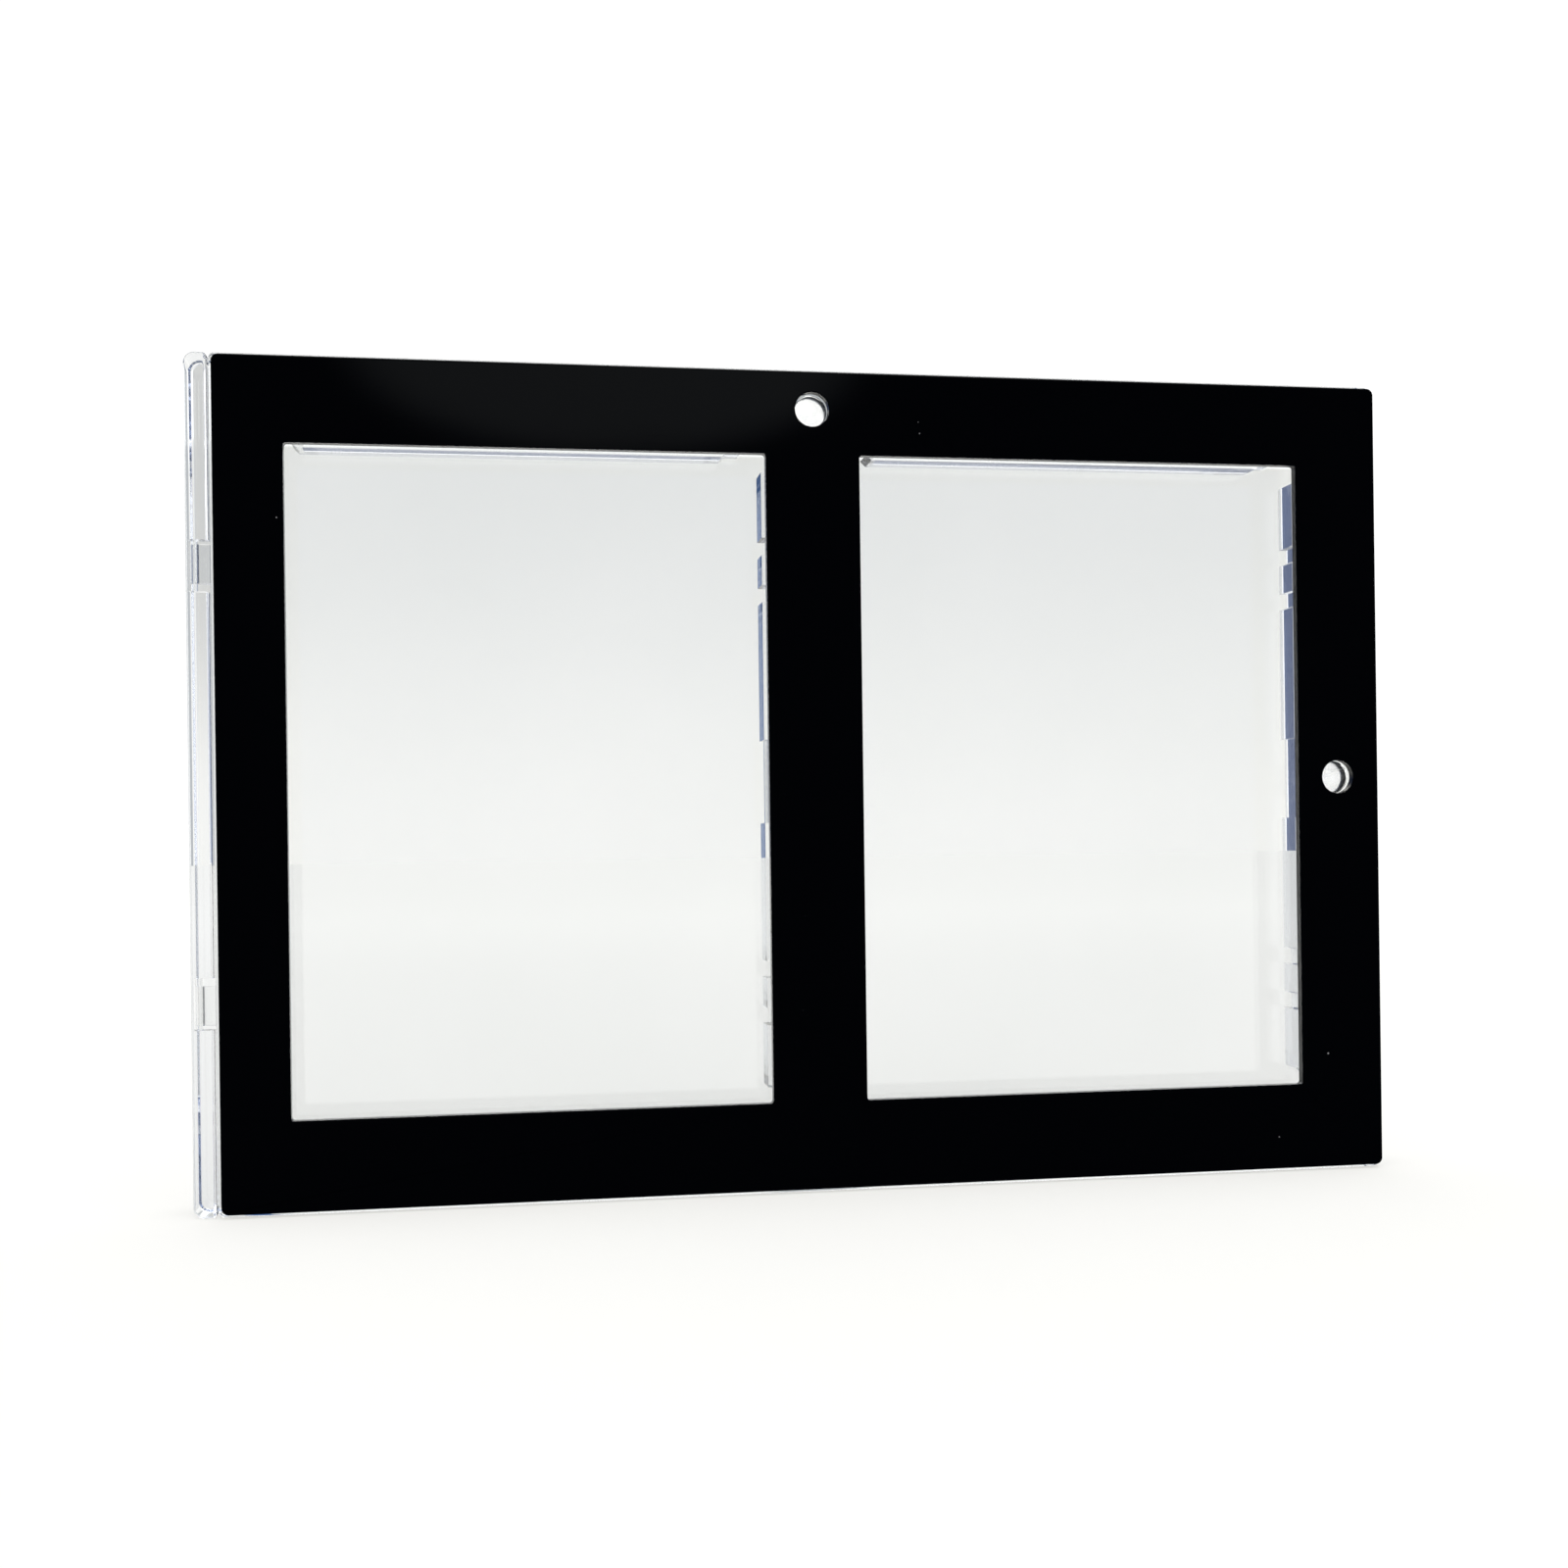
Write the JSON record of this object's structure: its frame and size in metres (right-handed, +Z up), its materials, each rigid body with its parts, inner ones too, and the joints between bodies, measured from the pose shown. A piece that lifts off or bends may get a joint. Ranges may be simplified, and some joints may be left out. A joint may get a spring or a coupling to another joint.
{
  "type": "trading card display case",
  "caption": "Clear two-part case that shows a pair of trading cards side by side behind a black frame, with a hinged cover closed by disc magnets.",
  "frame": {"origin": "middle of the footprint, on the surface that the case stands on", "axes": "+X to the right as the cards are seen, along the case's length; -Y out of the front, the way the cards face; +Z up"},
  "size_m": [0.1686, 0.0098, 0.115],
  "materials": {
    "clear_plastic": "clear, polished",
    "gloss_black": "high gloss",
    "nickel_plate": "bright nickel plate"
  },
  "bodies": {
    "tray": {"back_tray": "clear_plastic", "tray_magnet_top": "nickel_plate", "tray_magnet_side": "nickel_plate"},
    "cover": {"front_cover": "clear_plastic", "black_bezel": "gloss_black", "cover_magnet_top": "nickel_plate", "cover_magnet_side": "nickel_plate"}
  },
  "joints": [
    {"name": "cover_hinge", "type": "hinge", "parent": "tray", "child": "cover", "pos_m": [-0.08315, -0.0029, 0.0575], "axis": [0, 0, -1], "range_deg": [0, 105]}
  ]
}
